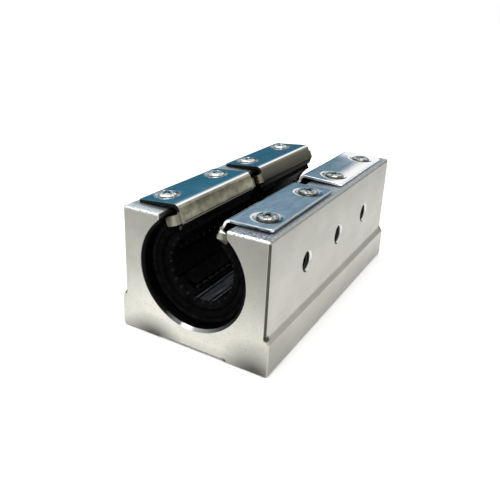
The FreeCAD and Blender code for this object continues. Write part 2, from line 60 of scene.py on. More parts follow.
CAMERA_AIM = Vector((5.185, -48.0, 39.991)) * MM
CAMERA_DISTANCE = 138.78 * MM
CAMERA_AZIMUTH = math.radians(32.5)
CAMERA_ELEVATION = math.radians(20.71)
CAMERA_ROLL = math.radians(1.0)
CAMERA_LENS = 40.13
CAMERA_SHIFT = (0.0843, -0.0619)


def make_camera():
    """The camera, turned about its aim point by azimuth, elevation and roll."""
    data = bpy.data.cameras.new("camera")
    data.lens = CAMERA_LENS
    data.shift_x, data.shift_y = CAMERA_SHIFT
    data.clip_start = 10 * MM
    data.clip_end = 20.0
    camera = bpy.data.objects.new("camera", data)
    turn = (Matrix.Rotation(CAMERA_AZIMUTH, 3, "Z")
            @ Matrix.Rotation(math.pi / 2 - CAMERA_ELEVATION, 3, "X")
            @ Matrix.Rotation(CAMERA_ROLL, 3, "Z"))
    camera.matrix_world = (Matrix.Translation(CAMERA_AIM + turn @ Vector((0, 0, CAMERA_DISTANCE)))
                           @ turn.to_4x4())
    bpy.context.scene.collection.objects.link(camera)
    bpy.context.scene.camera = camera


# --- Node trees ------------------------------------------------

class Graph:
    """Adds nodes to a tree, with their settings and inputs in one call."""

    def __init__(self, tree):
        self.tree = tree

    def add(self, kind, inputs=None, **settings):
        node = self.tree.nodes.new(kind)
        for name, value in settings.items():
            setattr(node, name, value)
        for key, value in (inputs or {}).items():
            self.put(node.inputs[key], value)
        return node

    def put(self, socket, value):
        if isinstance(value, bpy.types.NodeSocket):
            self.tree.links.new(value, socket)
        else:
            socket.default_value = value

    def math(self, operation, *values):
        node = self.add("ShaderNodeMath", dict(enumerate(values)), operation=operation)
        return node.outputs[0]

    def vector_math(self, operation, *values):
        node = self.add("ShaderNodeVectorMath", dict(enumerate(values)), operation=operation)
        return node.outputs[0]

    def split(self, vector):
        """The three parts of a vector."""
        return self.add("ShaderNodeSeparateXYZ", {0: vector}).outputs

    def vector(self, *parts):
        """A vector from up to three parts, with 0 for those left out."""
        return self.add("ShaderNodeCombineXYZ", dict(enumerate(parts))).outputs[0]

    def ramp(self, value, bands):
        """Colours that follow a value from 0 to 1, each given with its place."""
        node = self.add("ShaderNodeValToRGB", {0: value})
        stops = node.color_ramp.elements
        while len(stops) < len(bands):
            stops.new(0.5)
        for stop, (place, colour) in zip(stops, bands):
            stop.position = place
            stop.color = (*colour, 1.0)
        return node.outputs[0]


class Finish(Graph):
    """A material's graph, with the places and textures that finishes use, in millimetres."""

    def __init__(self, name, metallic, specular=0.5, bending=1.5):
        self.material = bpy.data.materials.new(name)
        self.material.use_nodes = True
        super().__init__(self.material.node_tree)
        self.tree.nodes.clear()
        self.shader = self.add("ShaderNodeBsdfPrincipled", {
            "Metallic": metallic, "Specular IOR Level": specular, "IOR": bending})
        self.add("ShaderNodeOutputMaterial", {"Surface": self.shader.outputs[0]})
        place = self.add("ShaderNodeTexCoord")
        self.millimetres = self.vector_math("MULTIPLY", place.outputs["Object"], (1000, 1000, 1000))
        self.x, self.y, self.z = self.split(self.millimetres)
        self.facing = self.split(place.outputs["Normal"])
        self.heights = []

    @cached_property
    def side(self):
        """Distance from the middle, to the left or right."""
        return self.size_of(self.x)

    @cached_property
    def along(self):
        """Distance from the middle, to the front or rear."""
        return self.size_of(self.y)

    @cached_property
    def sideways(self):
        """How far the surface faces to either side, 0 to 1."""
        return self.size_of(self.facing[0])

    @cached_property
    def endways(self):
        """How far the surface faces to either end, 0 to 1."""
        return self.size_of(self.facing[1])

    @cached_property
    def upwards(self):
        """How far the surface faces up, -1 to 1."""
        return self.facing[2]

    @cached_property
    def along_clip(self):
        """Distance along a clip from its middle."""
        return self.size_of(self.minus(self.along, BUSHING_MIDDLE))

    @cached_property
    def screw_reach(self):
        """Distance from the nearest clip screw's axis."""
        return self.distance(self.minus(self.side, SCREW_PLACE[0]),
                             self.minus(self.along_clip, SCREW_PLACE[1]))

    @cached_property
    def shaft_reach(self):
        """Distance from the shaft's axis."""
        return self.distance(self.x, self.minus(self.z, SHAFT_HEIGHT))

    @cached_property
    def shaft_angle(self):
        """The angle round the shaft's axis, in radians, 0 to the right."""
        return self.math("ARCTAN2", self.minus(self.z, SHAFT_HEIGHT), self.x)

    def stretched(self, scale):
        """Object coordinates in millimetres, squeezed along each axis by its own factor."""
        return self.vector_math("MULTIPLY", self.millimetres, scale)

    def noise(self, place, scale, detail=2.0, roughness=0.5):
        node = self.add("ShaderNodeTexNoise", {
            "Vector": place, "Scale": scale, "Detail": detail, "Roughness": roughness})
        return node.outputs["Fac"]

    def levels(self, value, low, high, to_low=0.0, to_high=1.0):
        """The value, stretched from low..high to a new range and held inside it."""
        node = self.add("ShaderNodeMapRange", {
            "Value": value, "From Min": low, "From Max": high, "To Min": to_low, "To Max": to_high},
            clamp=True)
        return node.outputs[0]

    def band(self, value, start, full, last, end):
        """1 from full to last, fading to 0 at start and end."""
        return self.both(self.levels(value, start, full), self.levels(value, end, last))

    def mix(self, share, first, second):
        """A colour between two others."""
        node = self.add("ShaderNodeMix", data_type="RGBA", clamp_factor=True)
        self.put(node.inputs["Factor"], share)
        for socket, value in ((node.inputs[6], first), (node.inputs[7], second)):
            self.put(socket, (*value, 1.0) if isinstance(value, tuple) else value)
        return node.outputs[2]

    def painted(self, colour, *layers):
        """A colour under further layers, each given as its share and its own colour."""
        for share, layer in layers:
            colour = self.mix(share, colour, layer)
        return colour

    def scaled(self, colour, tone):
        """A colour made lighter or darker by a factor."""
        node = self.add("ShaderNodeVectorMath", {0: colour, "Scale": tone}, operation="SCALE")
        return node.outputs[0]

    def blend(self, share, first, second):
        """A number between two others."""
        node = self.add("ShaderNodeMix", {"Factor": share, 2: first, 3: second}, data_type="FLOAT")
        return node.outputs[0]

    def size_of(self, value):
        return self.math("ABSOLUTE", value)

    def minus(self, value, less):
        return self.math("SUBTRACT", value, less)

    def over(self, value, divisor):
        return self.math("DIVIDE", value, divisor)

    def both(self, *shares):
        """The product of several shares: where all of them hold."""
        product = shares[0]
        for share in shares[1:]:
            product = self.math("MULTIPLY", product, share)
        return product

    def either(self, *shares):
        """The largest of several shares: where any of them holds."""
        largest = shares[0]
        for share in shares[1:]:
            largest = self.math("MAXIMUM", largest, share)
        return largest

    def other(self, share):
        return self.minus(1.0, share)

    def distance(self, across, along):
        """The length of a flat vector."""
        node = self.add("ShaderNodeVectorMath", {0: self.vector(across, along)},
                        operation="LENGTH")
        return node.outputs["Value"]

    def curve(self, value, points):
        """A number that follows the given (place, result) points, with places from 0 to 1."""
        return self.ramp(value, [(place, (level, level, level)) for place, level in points])

    def relief(self, height, millimetres):
        """Adds a relief of a given depth, on top of those before it."""
        inputs = {"Height": height, "Strength": 1.0, "Distance": millimetres * MM}
        if self.heights:
            inputs["Normal"] = self.heights[-1]
        node = self.add("ShaderNodeBump", inputs)
        self.heights.append(node.outputs[0])

    def done(self, colour, roughness):
        self.put(self.shader.inputs["Base Color"],
                 (*colour, 1.0) if isinstance(colour, tuple) else colour)
        self.put(self.shader.inputs["Roughness"], roughness)
        if self.heights:
            self.put(self.shader.inputs["Normal"], self.heights[-1])
        return self.material


# The refraction index that keeps dark surfaces dark at a slant
LOW_BENDING = 1.12


# --- Where things are on the block, in millimetres -------------

SHAFT_HEIGHT = 23.0
HOUSING_HEIGHT = 38.0
BASE_SIDE = 24.0
BODY_SIDE = 22.8
SLOT_SIDE = 10.5
HOUSING_END = 48.0
STEP_HEIGHT = 10.0
LIPS_FROM = 30.0
BORE_RADIUS = 16.0
SIDE_HOLE_HEIGHT = 24.0
SIDE_HOLE_SPACING = 24.0
RELIEF_STEP = 10.8
BUSHING_MIDDLE = 23.5
SCREW_PLACE = (16.0, 13.0)
LOWER_LAND_HALF_WIDTH = 2.8


# --- Aluminium -------------------------------------------------

ALUMINIUM = ((0.60, 0.585, 0.515), (0.67, 0.655, 0.59))
DRAWN_LINE = (0.46, 0.45, 0.40)
END_SPECK = (0.24, 0.24, 0.23)
BLASTED = ((0.16, 0.17, 0.22), (0.97, 0.98, 1.0))
BLASTED_MIDDLE_SHADE = (0.34, 0.40, 0.42)
TOP_EDGE_HIGHLIGHT = (0.97, 0.97, 0.97)
SLOT_WALL_SHADE = (0.02, 0.02, 0.02)
BORE_WALL_SHADE = (0.012, 0.012, 0.012)
HOLE_WALL_SHADE = (0.02, 0.02, 0.018)
PORT_WALL_SHADE = (0.10, 0.10, 0.08)
BEVEL_SHADE = (0.05, 0.05, 0.042)
BEVEL_GLINT = (0.66, 0.66, 0.62)
PAINTED_SHADE_MARK = (0.07, 0.07, 0.052)


def end_face_light_and_shade(finish):
    """Painted light and shade: lightest low down, with a painted shade at each low corner, darker
    low down at the left edge, and darker to the right.
    """
    by_height = finish.curve(finish.over(finish.z, HOUSING_HEIGHT), [
        (0.0, 0.85), (0.10, 1.20), (0.30, 1.14), (0.58, 0.74), (0.85, 0.58), (1.0, 0.52)])
    shade_middle = finish.levels(finish.x, -1.0, 1.0, 13.0, 20.0)
    shade_height = finish.levels(finish.x, -1.0, 1.0, 7.5, 10.0)
    from_shade = finish.distance(finish.over(finish.minus(finish.side, shade_middle), 11.0),
                                 finish.over(finish.z, shade_height))
    low_corner_shade = finish.levels(finish.levels(from_shade, 1.0, 0.15), 0.0, 1.0, 1.0, 0.20)
    left_edge_shade = finish.blend(finish.levels(finish.x, -BASE_SIDE, -15.0),
                             finish.levels(finish.z, 30.0, 12.0, 1.0, 0.78), 1.0)
    to_the_right = finish.levels(finish.x, -BASE_SIDE, BASE_SIDE, 1.0, 0.84)
    return finish.both(by_height, low_corner_shade, left_edge_shade, to_the_right)


def side_face_light_and_shade(finish):
    """Painted light and shade on the sides: lightest just above the foot's step, darker to the rear
    and at the foot's front end.
    """
    by_height = finish.curve(finish.over(finish.z, HOUSING_HEIGHT), [
        (0.0, 0.62), (0.24, 0.80), (0.30, 0.86), (0.6, 0.79), (1.0, 0.58)])
    to_the_rear = finish.levels(finish.y, -HOUSING_END, HOUSING_END, 0.96, 0.79)
    along_side = finish.blend(finish.levels(finish.z, STEP_HEIGHT + 0.2, STEP_HEIGHT - 0.2),
                              to_the_rear, 0.90)
    foot_front = finish.both(finish.levels(finish.z, STEP_HEIGHT, STEP_HEIGHT - 0.4),
                             finish.levels(finish.y, -32.0, -HOUSING_END))
    return finish.both(by_height, along_side, finish.levels(foot_front, 0.0, 1.0, 1.0, 0.76))


def blasted_top(finish, fine_specks):
    """Pale and dark specks, painted paler on the left lip and darker on the right as painted light,
    and away from the ends, where the clips lie over them, a plainer and darker grey as painted
    shade.
    """
    lip_specks = finish.math("ADD", fine_specks, finish.levels(finish.x, -10.0, 10.0, 0.09, -0.05))
    blasted = finish.mix(finish.levels(lip_specks, 0.40, 0.60), *BLASTED)
    middle = finish.levels(finish.along, 45.6, 44.8)
    return finish.mix(finish.both(middle, 0.72), blasted, BLASTED_MIDDLE_SHADE)


def paint_bore(finish, colour):
    """Painted shade: a black wall inside the bevelled ring, and the ring nearly black but for one
    painted glint low down and a faint painted hairline of light round its outer edge.
    """
    turn = finish.over(finish.shaft_angle, 2 * math.pi)
    wall = finish.both(finish.levels(finish.shaft_reach, BORE_RADIUS + 0.4, BORE_RADIUS + 0.2),
                       finish.levels(finish.along, HOUSING_END - 0.7, HOUSING_END - 0.8))
    ring = finish.both(finish.levels(finish.shaft_reach, BORE_RADIUS + 1.0, BORE_RADIUS + 0.9),
                       finish.band(finish.endways, 0.20, 0.35, 0.85, 0.95))
    tone = finish.curve(finish.math("ADD", turn, 0.5), [
        (0.0, 0.10), (0.16, 0.09), (0.215, 0.09), (0.228, 1.0), (0.243, 1.0), (0.26, 0.30),
        (0.31, 0.22), (0.36, 0.10), (0.41, 0.02), (0.80, 0.02), (0.93, 0.06), (1.0, 0.10)])
    hairline = finish.levels(finish.shaft_reach, BORE_RADIUS + 0.6, BORE_RADIUS + 0.8)
    away_from_glint = finish.either(finish.levels(turn, -0.30, -0.34),
                                    finish.levels(turn, 0.0, 0.02))
    dull = finish.both(finish.other(hairline), away_from_glint)
    tone = finish.both(tone, finish.levels(dull, 0.0, 1.0, 1.0, 0.06))
    return finish.painted(colour, (wall, BORE_WALL_SHADE), (ring, tone))


def paint_side_holes(finish, colour):
    """Painted shade on the hole walls, darkest over the adjusting screws, and on the bevels, with a
    painted glint where they face the front.
    """
    above_hole = finish.size_of(finish.minus(finish.z, SIDE_HOLE_HEIGHT))
    past_last_hole = SIDE_HOLE_SPACING + 6.0
    near_holes = finish.levels(finish.along, past_last_hole, past_last_hole - 1.0)
    wall = finish.both(finish.levels(finish.sideways, 0.35, 0.25),
                       finish.band(finish.x, BORE_RADIUS - 0.1, BORE_RADIUS + 0.2,
                                   BODY_SIDE, BODY_SIDE + 0.2),
                       finish.levels(above_hole, 3.0, 2.9), near_holes)
    wall_colour = finish.mix(finish.levels(finish.along, 6.0, 5.0), HOLE_WALL_SHADE, PORT_WALL_SHADE)
    bevel = finish.both(finish.band(finish.facing[0], 0.5, 0.6, 0.8, 0.9),
                        finish.levels(finish.x, 20.0, 20.4),
                        finish.levels(above_hole, 4.5, 4.4), near_holes)
    lit = finish.both(finish.levels(finish.facing[1], 0.10, -0.10),
                      finish.levels(finish.x, BODY_SIDE - 0.55, BODY_SIDE - 0.45))
    bevel_colour = finish.mix(lit, BEVEL_SHADE, BEVEL_GLINT)
    return finish.painted(colour, (wall, wall_colour), (bevel, bevel_colour))


def painted_shade_marks(finish, end_face):
    """Painted shade along the upright edges, in the foot's step and at the relief's ends."""
    upright_edge = finish.both(
        finish.levels(finish.side, BODY_SIDE - 0.55, BODY_SIDE - 0.45),
        finish.levels(finish.along, HOUSING_END - 0.9, HOUSING_END - 0.7),
        finish.band(finish.z, STEP_HEIGHT + 0.6, STEP_HEIGHT + 1.2,
                    HOUSING_HEIGHT - 1.0, HOUSING_HEIGHT - 0.5))
    step_end = finish.both(
        finish.levels(finish.side, BODY_SIDE - 0.4, BODY_SIDE - 0.2),
        finish.levels(finish.along, HOUSING_END - 2.0, HOUSING_END - 1.4),
        finish.band(finish.z, STEP_HEIGHT + 0.5, STEP_HEIGHT + 0.9,
                    STEP_HEIGHT + 1.6, STEP_HEIGHT + 2.0))
    from_relief_step = finish.size_of(finish.minus(finish.side, RELIEF_STEP))
    relief_end = finish.both(end_face, finish.levels(finish.z, 1.3, 0.8),
                             finish.levels(from_relief_step, 0.9, 0.5))
    return finish.either(relief_end, upright_edge, step_end)


def machined_aluminium():
    """Extruded along the shaft, with sawn and milled ends and softly blasted tops."""
    finish = Finish("machined aluminium", 1.0)
    end_face = finish.levels(finish.endways, 0.6, 0.9)
    side_face = finish.levels(finish.sideways, 0.6, 0.9)
    on_lips = finish.levels(finish.z, LIPS_FROM, LIPS_FROM + 1.0)
    top_face = finish.both(finish.levels(finish.upwards, 0.6, 0.9), on_lips)
    cloud = finish.noise(finish.millimetres, 0.09, 4.0, 0.6)
    drawn = finish.noise(finish.stretched((3.0, 0.05, 3.0)), 1.0, 4.0, 0.6)
    fine_drawn = finish.noise(finish.stretched((9.0, 0.12, 9.0)), 1.0, 2.0, 0.5)
    specks = finish.noise(finish.millimetres, 2.6, 3.0, 0.7)
    grit = finish.noise(finish.millimetres, 6.0, 2.0, 0.6)
    fine_specks = finish.noise(finish.millimetres, 2.2, 3.0, 0.75)

    colour = finish.mix(finish.levels(cloud, 0.35, 0.65), *ALUMINIUM)
    lines = finish.blend(finish.either(end_face, top_face), drawn, 0.5)
    colour = finish.mix(finish.levels(lines, 0.3, 0.7, 0.0, 0.12), colour, DRAWN_LINE)
    # Painted light and shade: the end faces and the sides are scaled by tones that stand in for how
    # light falls on them.
    tone = finish.blend(end_face, finish.blend(side_face, 0.85, side_face_light_and_shade(finish)),
                        end_face_light_and_shade(finish))
    # Painted highlight: a broken bright line along the top edges of the end faces.
    rim = finish.both(finish.levels(finish.z, HOUSING_HEIGHT - 0.8, HOUSING_HEIGHT - 0.3),
                      finish.levels(finish.along, HOUSING_END - 0.6, HOUSING_END - 0.3),
                      finish.levels(fine_specks, 0.44, 0.50))
    # Painted shade: the slot's walls, dark from just below the top of the lips down to the bore.
    slot_wall_shade = finish.both(finish.levels(finish.sideways, 0.80, 0.95),
                            finish.levels(finish.side, SLOT_SIDE + 0.5, SLOT_SIDE + 0.2),
                            finish.levels(finish.z, HOUSING_HEIGHT - 1.1, HOUSING_HEIGHT - 1.7),
                            on_lips)
    colour = finish.painted(
        finish.scaled(colour, tone),
        (finish.both(end_face, finish.levels(specks, 0.40, 0.30)), END_SPECK),
        (top_face, blasted_top(finish, fine_specks)),
        (rim, TOP_EDGE_HIGHLIGHT),
        (slot_wall_shade, SLOT_WALL_SHADE))
    colour = paint_side_holes(finish, paint_bore(finish, colour))
    colour = finish.mix(painted_shade_marks(finish, end_face), colour, PAINTED_SHADE_MARK)

    roughness = finish.blend(end_face, finish.levels(drawn, 0.3, 0.7, 0.36, 0.44),
                             finish.levels(grit, 0.3, 0.7, 0.40, 0.60))
    finish.relief(finish.both(fine_drawn, finish.other(end_face)), 0.006)
    finish.relief(finish.both(specks, end_face), 0.035)
    finish.relief(finish.both(fine_specks, top_face), 0.09)
    return finish.done(colour, roughness)


# --- Plated sheet ----------------------------------------------

PLATED = ((0.62, 0.65, 0.66), (0.68, 0.70, 0.71))
FLANGE_TINT = (1.0, 0.97, 0.76)
BEND_SHADE = (0.30, 0.38, 0.43)
BEND_GLINT = (0.98, 0.98, 0.98)
TAB_SHADE = ((0.10, 0.098, 0.070), (0.26, 0.25, 0.19))
TURNED_BACK_SHADE = (0.004, 0.004, 0.004)
CREASE_HIGHLIGHT = (0.22, 0.22, 0.20)
LOW_END_SHADE = (0.05, 0.05, 0.04)
CUT_OUTER_SHADE = (0.13, 0.14, 0.15)
CUT_END_SHADE = (0.04, 0.043, 0.047)
CUT_HIGHLIGHT = (0.50, 0.54, 0.57)
BENT_EDGE_HIGHLIGHT = (0.95, 0.95, 0.92)
LEFT_EDGE_SHADE = (0.010, 0.012, 0.010)
STREAK = (0.34, 0.38, 0.41)
REAR_PLATE_SHADE = (0.40, 0.42, 0.42)
PLATE_RIM_HIGHLIGHT = (0.97, 0.975, 0.98)
SCREW_HIGHLIGHT = (0.98, 0.98, 0.98)
SCREW_SHADE = (0.01, 0.01, 0.01)
LIT_FROM = (-0.843, -0.537)
SHADED_FROM = (0.73, -0.68)
REAR_END_RISE = 1.8
OUTER_ROLL_OFF = 1.3
DIMPLE_RELIEF = (-0.10, -0.26)
EASE = 2.2


class ClipFinish(Finish):
    """A finish that knows a clip's zones: its plate, flange, tabs and cut edges."""

    @cached_property
    def right(self):
        return self.levels(self.x, 1.0, 2.0)

    @cached_property
    def rear(self):
        return self.levels(self.y, -0.5, 0.5)

    @cached_property
    def plate(self):
        return self.levels(self.z, HOUSING_HEIGHT - 0.25, HOUSING_HEIGHT - 0.15)

    @cached_property
    def inner(self):
        """The part over the slot."""
        return self.levels(self.side, SLOT_SIDE, SLOT_SIDE - 0.5)

    @cached_property
    def end_cut(self):
        return self.levels(self.endways, 0.85, 0.97)

    @cached_property
    def outer_cut(self):
        return self.both(self.levels(self.sideways, 0.90, 0.98), self.levels(self.side, 20.0, 20.5))

    @cached_property
    def cut(self):
        return self.both(self.plate, self.either(self.end_cut, self.outer_cut))

    @cached_property
    def tab(self):
        past_flange = self.levels(self.along_clip, 19.9, 20.2)
        return self.both(self.other(self.plate), self.either(self.end_cut, past_flange))

    @cached_property
    def flange(self):
        return self.both(self.inner, self.levels(self.sideways, 0.56, 0.66))

    @cached_property
    def strip(self):
        """The face of the edge that turns back under the flange."""
        return self.both(self.levels(self.sideways, 0.70, 0.85), self.other(self.plate),
                         self.other(self.tab), self.levels(self.upwards, 0.26, 0.14))

    @cached_property
    def turned_back(self):
        """That strip, with the low corner of the flange's cut end."""
        flange_end = self.both(self.end_cut, self.levels(self.along_clip, 20.4, 20.2),
                               self.levels(self.side, 7.2, 7.0), self.levels(self.z, 35.0, 34.8))
        return self.either(self.strip, flange_end)


def flange_colour(clip):
    """Warm grey with upright strokes. Painted light and shade: on the front clips lighter towards
    the clip's ends and low down, on the rear clips painted shade that makes them nearly black.
    """
    strokes = clip.noise(clip.stretched((0.9, 0.30, 0.25)), 1.0, 3.0, 0.6)
    front = clip.curve(clip.levels(clip.y, -46.0, -1.0), [
        (0.0, 0.62), (0.10, 0.50), (0.35, 0.37), (0.70, 0.44), (1.0, 0.75)])
    front = clip.both(front, clip.levels(strokes, 0.35, 0.65, 0.72, 1.28),
                      clip.levels(clip.z, 38.6, 36.2, 0.62, 1.10))
    rear = clip.levels(clip.z, 38.4, 35.0, 0.20, 0.05)
    return clip.scaled(FLANGE_TINT, clip.blend(clip.rear, front, rear))


def cut_colour(clip):
    """The sheared edge: a painted highlight on its upper half and painted shade below."""
    upper_half = clip.levels(
        clip.z, clip.blend(clip.rear, HOUSING_HEIGHT + 0.75, HOUSING_HEIGHT + 0.45),
        clip.blend(clip.rear, HOUSING_HEIGHT + 0.90, HOUSING_HEIGHT + 0.60))
    lower = clip.mix(clip.outer_cut, CUT_END_SHADE, CUT_OUTER_SHADE)
    return clip.mix(upper_half, lower, CUT_HIGHLIGHT)


def paint_bends(clip, colour):
    """The flange, the bend over the slot, the tabs, and the edge that turns back under the flange:
    a painted shade and a painted glint on the bend, painted shade on the tabs, on the turned-back
    edge and low on the cut ends, and a painted highlight along the crease.
    """
    bend_shade = clip.both(clip.plate, clip.inner,
                           clip.band(clip.sideways, 0.10, 0.14, 0.24, 0.30))
    bend_glint = clip.both(clip.plate, clip.inner,
                           clip.band(clip.sideways, 0.28, 0.34, 0.58, 0.64))
    crease = clip.both(clip.strip, clip.band(clip.upwards, -0.24, -0.16, 0.02, 0.10),
                       clip.other(clip.rear))
    low_end_shade = clip.both(clip.end_cut, clip.levels(clip.z, 34.1, 34.0))
    return clip.painted(
        colour,
        (clip.flange, flange_colour(clip)),
        (bend_shade, BEND_SHADE),
        (bend_glint, BEND_GLINT),
        (clip.tab, clip.mix(clip.levels(clip.side, 8.4, 7.4), *TAB_SHADE)),
        (clip.turned_back, TURNED_BACK_SHADE),
        (crease, CREASE_HIGHLIGHT),
        (low_end_shade, LOW_END_SHADE))


def screw_marks(clip):
    """The shares of the painted highlights round each screw, a crescent on the right clips and a
    halo on the left ones, and of the painted shade on the right clips.
    """
    past_middle = clip.math("SIGN", clip.minus(clip.along, BUSHING_MIDDLE))
    order = clip.both(past_middle, clip.math("SIGN", clip.y))
    outwards = clip.over(clip.minus(clip.side, SCREW_PLACE[0]), clip.screw_reach)
    rearwards = clip.over(clip.both(clip.minus(clip.along_clip, SCREW_PLACE[1]), order),
                          clip.screw_reach)

    def towards(across, along):
        return clip.math("ADD", clip.both(outwards, across), clip.both(rearwards, along))

    rim = clip.both(clip.plate, clip.levels(clip.screw_reach, 4.70, 4.50))
    lit_crescent = clip.both(rim, clip.levels(towards(*LIT_FROM), 0.35, 0.70),
                     clip.levels(clip.screw_reach, 3.85, 4.05), clip.right)
    shaded = clip.both(rim, clip.levels(towards(*SHADED_FROM), 0.25, 0.60),
                       clip.levels(clip.screw_reach, 3.75, 3.45), clip.right)
    across_light = clip.size_of(towards(-LIT_FROM[0], LIT_FROM[1]))
    halo = clip.both(rim, clip.other(clip.right), clip.levels(across_light, 0.70, 0.95),
                     clip.levels(clip.screw_reach, 4.2, 3.2), 0.5)
    return clip.either(lit_crescent, halo), shaded


def plated_sheet():
    """Bright blue-tinted zinc plate on cold-rolled sheet, rougher on its cut edges and tabs, with
    painted light and shade on its bends, tabs, edges and plates and round its screws.
    """
    clip = ClipFinish("zinc-plated sheet", 1.0, 0.06, LOW_BENDING)
    waves = clip.noise(clip.stretched((0.10, 0.05, 0.10)), 1.0, 1.0, 0.4)
    rolled = clip.noise(clip.stretched((2.2, 0.08, 2.2)), 1.0, 3.0, 0.6)
    haze = clip.noise(clip.millimetres, 0.22, 4.0, 0.6)
    smear = clip.noise(clip.stretched((0.5, 0.12, 0.5)), 1.0, 3.0, 0.6)
    left = clip.other(clip.right)
    rear_right = clip.both(clip.right, clip.rear)

    # Painted highlight on the right clips' cut ends where they bend over the slot.
    bent_edge_highlight = clip.both(clip.end_cut, clip.right, clip.levels(clip.side, 9.0, 8.7),
                          clip.levels(clip.z, 35.8, 36.1))
    # Painted shade on the left clips' rounded edges at the ends and on their cut edges.
    left_edge_shade = clip.either(clip.both(clip.plate, clip.levels(clip.endways, 0.12, 0.25), left),
                            clip.both(clip.cut, left))
    streak = clip.both(clip.plate, clip.levels(smear, 0.38, 0.60), clip.right, 0.60)
    # Painted shade: a darker reflection on the inner part of the rear right plate, away from its
    # rear end.
    rear_plate_shade = clip.both(clip.plate, rear_right, clip.levels(clip.side, 18.0, 15.5),
                          clip.levels(clip.y, 38.0, 30.0), 0.35)
    # Painted highlight along the outer and rear edges of the rear right plate.
    plate_rim_highlight = clip.both(clip.plate, rear_right, clip.either(
        clip.levels(clip.x, 17.0, 18.8), clip.levels(clip.y, 33.0, 38.0)))
    screw_highlights, shaded_marks = screw_marks(clip)
    colour = clip.painted(
        paint_bends(clip, clip.mix(clip.levels(haze, 0.35, 0.65), *PLATED)),
        (clip.cut, cut_colour(clip)),
        (bent_edge_highlight, BENT_EDGE_HIGHLIGHT),
        (left_edge_shade, LEFT_EDGE_SHADE),
        (streak, STREAK),
        (rear_plate_shade, REAR_PLATE_SHADE),
        (plate_rim_highlight, PLATE_RIM_HIGHLIGHT),
        (screw_highlights, SCREW_HIGHLIGHT),
        (shaded_marks, SCREW_SHADE))
    # No metal sheen where painted shade makes the turned-back edges and the left clips' edges
    # black.
    clip.put(clip.shader.inputs["Metallic"],
             clip.other(clip.either(clip.turned_back, left_edge_shade)))

    roughness = clip.math("ADD", clip.levels(rolled, 0.3, 0.7, 0.05, 0.10),
                          clip.levels(smear, 0.45, 0.7, 0.0, 0.05))
    roughness = clip.blend(clip.flange, roughness, 0.32)
    roughness = clip.blend(clip.either(clip.tab, clip.cut), roughness, 0.35)
    roughness = clip.blend(screw_highlights, roughness, 0.45)

    roll_off = clip.math("POWER", clip.levels(clip.x, 15.0, 21.0), EASE)
    rise = clip.math("POWER", clip.levels(clip.y, 28.5, 43.5), EASE)
    pressed = clip.math("POWER", clip.levels(clip.screw_reach, 4.9, 3.3), EASE)
    clip.relief(waves, 0.12)
    clip.relief(rolled, 0.002)
    clip.relief(clip.both(rear_right, clip.minus(clip.both(rise, REAR_END_RISE),
                                                 clip.both(roll_off, OUTER_ROLL_OFF))), 1.0)
    clip.relief(clip.both(pressed, clip.blend(clip.right, *DIMPLE_RELIEF)), 1.0)
    return clip.done(colour, roughness)


# --- Screws, black parts, balls and floor ----------------------

SCREW_RIM_SHADE = (0.05, 0.05, 0.045)
SCREW_RECESS_SHADE = (0.03, 0.03, 0.025)
BLACK_STEEL = ((0.003, 0.003, 0.003), (0.008, 0.008, 0.008))
RUBBER = ((0.002, 0.002, 0.002), (0.005, 0.005, 0.005))
BLACK_OXIDE = ((0.005, 0.005, 0.005), (0.012, 0.012, 0.012))
NOTCH = (0.012, 0.012, 0.013)
RESIN = ((0.002, 0.002, 0.002), (0.006, 0.006, 0.006))
LAND_SHEEN = ((0.10, 0.115, 0.14), (0.60, 0.64, 0.72))
LAND_GROOVE_SHADE = (0.02, 0.02, 0.02)
LAND_EDGE_HIGHLIGHT = (0.95, 0.97, 1.0)
SHADED_BALL = ((0.006, 0.006, 0.006), (0.003, 0.003, 0.003))
FLOOR = ((0.90, 0.90, 0.90), (0.93, 0.93, 0.93))


def plated_screw(name, top, bright, dull, rim_shade_share):
    """Bright nickel plate with worn patches, with painted shade in the recess and round the rim."""
    finish = Finish("nickel-plated screw, " + name, 1.0)
    wear = finish.noise(finish.millimetres, 1.1, 3.0, 0.6)
    grit = finish.noise(finish.millimetres, 6.0, 2.0, 0.5)
    rim = finish.both(finish.levels(finish.screw_reach, 2.60, 2.85), rim_shade_share)
    recess = finish.both(finish.levels(finish.z, top - 0.14, top - 0.24),
                         finish.levels(finish.screw_reach, 2.1, 2.0))
    colour = finish.painted(finish.mix(finish.levels(wear, 0.44, 0.56), bright, dull),
                            (rim, SCREW_RIM_SHADE), (recess, SCREW_RECESS_SHADE))
    finish.relief(grit, 0.01)
    return finish.done(colour, finish.levels(wear, 0.3, 0.7, 0.14, 0.28))


def dark_finish(name, colour, worn, roughness, specular, depth, notches=0):
    """A near-black moulded or oxidised surface with soft mottling and fine grain."""
    finish = Finish(name, 0.0, specular, LOW_BENDING)
    mottle = finish.noise(finish.millimetres, 0.5, 4.0, 0.6)
    lines = finish.noise(finish.stretched((5.0, 0.3, 5.0)), 1.0, 2.0, 0.5)
    tint = finish.mix(finish.levels(mottle, 0.4, 0.7), colour, worn)
    if notches:
        turn = finish.math("SINE", finish.both(finish.shaft_angle, float(notches)))
        notch = finish.both(finish.levels(turn, 0.60, 0.95),
                            finish.levels(finish.shaft_reach, 10.8, 10.5))
        tint = finish.mix(notch, tint, NOTCH)
    finish.relief(lines, depth)
    return finish.done(tint, finish.levels(mottle, 0.3, 0.7, roughness, roughness + 0.12))


